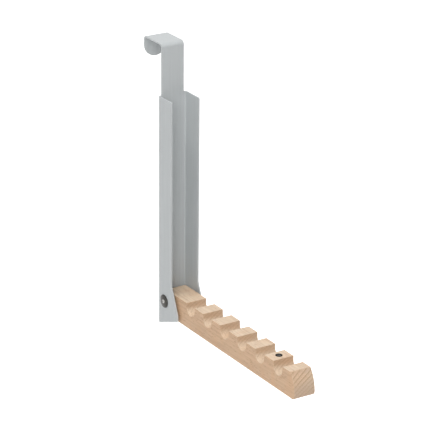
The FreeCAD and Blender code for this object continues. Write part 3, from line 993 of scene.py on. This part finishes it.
class BRACKET_OT_magnet(bpy.types.Operator):
    """Makes the pot magnet: its cup, its ring and its cross-recessed screw"""

    bl_idname = "bracket.magnet"
    bl_label = "Magnet"

    HOLE = 1.3 * MM
    MOUTH_GAP = 0.2 * MM
    SHANK = 1.1 * MM
    HEAD_RIM = 0.05 * MM
    ABOVE = 1 * MM

    def execute(self, context):
        sizes = context.scene.bracket_magnet
        plating = material("black_nickel", context)
        middle = (CUP_LO + CUP_HI) / 2
        seat = Vector((middle.x, middle.y, CUP_LO.z))
        rim = self.make_cup(sizes, seat)
        settle(rim, SWINGING, "black_zinc", material("dark_zinc", context), "magnet_cup")
        ring = self.make_ring(sizes, seat)
        settle(ring, SWINGING, "magnet", material("ring_magnet", context), "magnet_core")
        screw = self.make_screw(sizes, Vector((middle.x, middle.y, SCREW_HI.z)))
        settle(screw, SWINGING, "dark_nickel", plating, "magnet_screw")
        return {"FINISHED"}

    def make_cup(self, sizes, seat):
        ease = SMALL_EASE
        cup = (CUP_HI.x - CUP_LO.x) / 2
        tall = CUP_HI.z - CUP_LO.z
        bowl = cup - sizes.rim
        stations = [
            (self.HOLE, 0),
            (cup - ease, 0),
            (cup, ease),
            (cup, tall - ease),
            (cup - ease, tall),
            (bowl + ease, tall),
            (bowl, tall - ease),
            (bowl, sizes.floor),
            (self.HOLE, sizes.floor),
        ]
        rim = turned("magnet_rim", stations, seat, Matrix.Identity(4), ring=True)
        shade(rim)
        return rim

    def make_ring(self, sizes, seat):
        ease = SMALL_EASE
        bowl = (CUP_HI.x - CUP_LO.x) / 2 - sizes.rim
        tall = CUP_HI.z - CUP_LO.z
        mouth = (SCREW_HI.x - SCREW_LO.x) / 2 + self.MOUTH_GAP
        stations = [
            (self.HOLE, sizes.floor),
            (bowl, sizes.floor),
            (bowl, tall - ease),
            (bowl - ease, tall),
            (mouth, tall),
            (self.HOLE, tall - mouth + self.HOLE),
        ]
        ring = turned("magnet_ring", stations, seat, Matrix.Identity(4), ring=True)
        shade(ring)
        return ring

    def make_screw(self, sizes, top):
        end = SCREW_LO.z - SCREW_HI.z
        head = (SCREW_HI.x - SCREW_LO.x) / 2
        stations = [
            (0, end),
            (self.SHANK, end + self.SHANK),
            (self.SHANK, self.SHANK - head),
            (head, -self.HEAD_RIM),
            (head - self.HEAD_RIM, 0),
            (0, 0),
        ]
        screw = turned("magnet_screw_head", stations, top, Matrix.Identity(4))
        self.cut_cross(screw, sizes, top)
        shade(screw)
        return screw

    def cut_cross(self, screw, sizes, top):
        long = sizes.cross / 2
        short = sizes.cross_slot / 2
        quarter = [(short, long), (short, short), (long, short)]
        outline = [
            (x * math.cos(turn) + y * math.sin(turn), -x * math.sin(turn) + y * math.cos(turn))
            for turn in (0, math.pi / 2, math.pi, 1.5 * math.pi)
            for x, y in quarter
        ]
        ends = [
            [(top.x + x, top.y + y, top.z + height) for x, y in outline]
            for height in (-sizes.cross_depth, self.ABOVE)
        ]
        subtract(screw, drawn_out("cross", *ends))


class BRACKET_OT_pads(bpy.types.Operator):
    """Makes the two rubber pads on the channel's back"""

    bl_idname = "bracket.pads"
    bl_label = "Rear pads"

    def execute(self, context):
        rubber = material("moulded_rubber", context)
        radius = (PAD_HI.x - PAD_LO.x) / 2
        thick = PAD_HI.y - PAD_LO.y
        ease = 0.3 * MM
        corner = 0.3 * ease
        dish = 0.2 * MM
        lip = 0.62 * radius
        dish_edge = 0.58 * radius
        stations = [
            (0, 0),
            (radius, 0),
            (radius, thick - ease),
            (radius - corner, thick - corner),
            (radius - ease, thick),
            (lip, thick),
            (dish_edge, thick - dish),
            (0, thick - dish),
        ]
        middle = (PAD_LO + PAD_HI) / 2
        to_door = Matrix.Rotation(-math.pi / 2, 4, "X")
        for name, node, sign in (("left_pad", "rear_pad_left", -1), ("right_pad", "rear_pad_right", 1)):
            pad = turned(name, stations, Vector((sign * middle.x, PAD_LO.y, middle.z)), to_door)
            shade(pad)
            settle(pad, BRACKET, "rubber", rubber, node)
        return {"FINISHED"}


def lamp(name, place, aim, width, power):
    """A square soft lamp that looks at a point."""
    data = bpy.data.lights.new(name, "AREA")
    data.shape = "SQUARE"
    data.size = width
    data.energy = power
    made = bpy.data.objects.new(name, data)
    turn = (aim - place).to_track_quat("-Z", "Y").to_matrix().to_4x4()
    made.matrix_world = Matrix.Translation(place) @ turn
    bpy.context.scene.collection.objects.link(made)


def seen_directly(graph):
    """1 for rays from the camera, in mirrors and through glass, and 0 for light that falls on the object."""
    path = graph.node("ShaderNodeLightPath").outputs
    seen = graph.math("MAXIMUM", path["Is Camera Ray"], path["Is Glossy Ray"])
    return graph.math("MAXIMUM", seen, path["Is Transmission Ray"])


class BRACKET_OT_studio(bpy.types.Operator):
    """Sets the floor, the lamps, the surroundings and the camera"""

    bl_idname = "bracket.studio"
    bl_label = "Studio"

    WHITE = (1.0, 1.0, 1.0, 1.0)
    FLOOR_PAINT = (0.72, 0.72, 0.72, 1.0)
    FLOOR_GLOW = 0.86
    SENSOR = 36.0
    FAR = 100.0
    # Each lamp's place from the camera's aim, and its width.
    LAMPS = {
        "key": ((-0.8, 0.0, 2.9), 1.8),
        "fill": ((-2.15, -2.9, 1.8), 2.3),
        "back": ((2.9, 2.3, 0.3), 2.3),
    }

    def execute(self, context):
        studio = context.scene.bracket_studio
        self.set_floor(studio)
        self.set_lights(context, studio)
        self.set_camera(context, studio)
        context.scene.view_settings.view_transform = "Standard"
        return {"FINISHED"}

    def set_floor(self, studio):
        half = studio.floor_half
        corners = [(-half, -half), (half, -half), (half, half), (-half, half)]
        mesh = bpy.data.meshes.new("floor")
        mesh.from_pydata([(x, y, studio.floor_height) for x, y in corners], [], [(0, 1, 2, 3)])
        floor = add_piece("floor", mesh)
        surface = Surface("pale_floor")
        surface.finish(
            Base_Color=surface.tone(self.FLOOR_PAINT, scale=0.8, amount=0.01),
            Roughness=0.9,
            Specular_IOR_Level=0.1,
        )
        strength = surface.math("MULTIPLY", seen_directly(surface), self.FLOOR_GLOW)
        glow = surface.node("ShaderNodeEmission", {"Color": self.WHITE, "Strength": strength})
        both = surface.node("ShaderNodeAddShader", {0: surface.shader.outputs[0], 1: glow.outputs[0]})
        surface.feed(surface.tree.nodes["Material Output"].inputs["Surface"], both.outputs[0])
        mesh.materials.append(surface.material)

    def set_lights(self, context, studio):
        aim = Vector(studio.aim)
        for name, (offset, width) in self.LAMPS.items():
            lamp(name, aim + Vector(offset), aim, width, getattr(studio, name + "_power"))
        world = bpy.data.worlds.new("surroundings")
        world.use_nodes = True
        context.scene.world = world
        graph = Graph(world.node_tree)
        background = world.node_tree.nodes["Background"].inputs
        graph.feed(background["Color"], self.WHITE)
        graph.feed(background["Strength"], graph.ramp(seen_directly(graph), 0.0, 1.0, studio.ambient, 1.0))

    def set_camera(self, context, studio):
        data = bpy.data.cameras.new("camera")
        data.lens = studio.lens
        data.sensor_width = self.SENSOR
        data.clip_end = self.FAR
        camera = bpy.data.objects.new("camera", data)
        turn = (
            Matrix.Rotation(studio.azimuth, 4, "Z")
            @ Matrix.Rotation(math.pi / 2 - studio.elevation, 4, "X")
            @ Matrix.Rotation(studio.roll, 4, "Z")
        )
        back = turn.to_3x3() @ Vector((0, 0, 1))
        camera.matrix_world = Matrix.Translation(Vector(studio.aim) + studio.distance * back) @ turn
        context.scene.collection.objects.link(camera)
        context.scene.camera = camera


OPERATORS = (
    BRACKET_OT_studio,
    BRACKET_OT_steel,
    BRACKET_OT_arm,
    BRACKET_OT_pivot,
    BRACKET_OT_magnet,
    BRACKET_OT_pads,
)


class BRACKET_PT_panel(bpy.types.Panel):
    """Lists the bracket's pieces, sizes and finishes"""

    bl_idname = "BRACKET_PT_panel"
    bl_label = "Hanger bracket"
    bl_space_type = "VIEW_3D"
    bl_region_type = "UI"
    bl_category = "Bracket"

    def draw(self, context):
        for operator in OPERATORS:
            self.layout.operator(operator.bl_idname)
        for group in GROUPS:
            box = self.layout.box()
            settings = getattr(context.scene, group)
            for name in settings.__annotations__:
                box.prop(settings, name)


def register():
    for group, kind in GROUPS.items():
        bpy.utils.register_class(kind)
        setattr(bpy.types.Scene, group, PointerProperty(type=kind))
    for operator in OPERATORS:
        bpy.utils.register_class(operator)
    bpy.utils.register_class(BRACKET_PT_panel)


def unregister():
    bpy.utils.unregister_class(BRACKET_PT_panel)
    for operator in reversed(OPERATORS):
        bpy.utils.unregister_class(operator)
    for group, kind in reversed(GROUPS.items()):
        delattr(bpy.types.Scene, group)
        bpy.utils.unregister_class(kind)


def main():
    register()
    for operator in OPERATORS:
        area, name = operator.bl_idname.split(".")
        getattr(getattr(bpy.ops, area), name)()


if __name__ == "__main__":
    main()
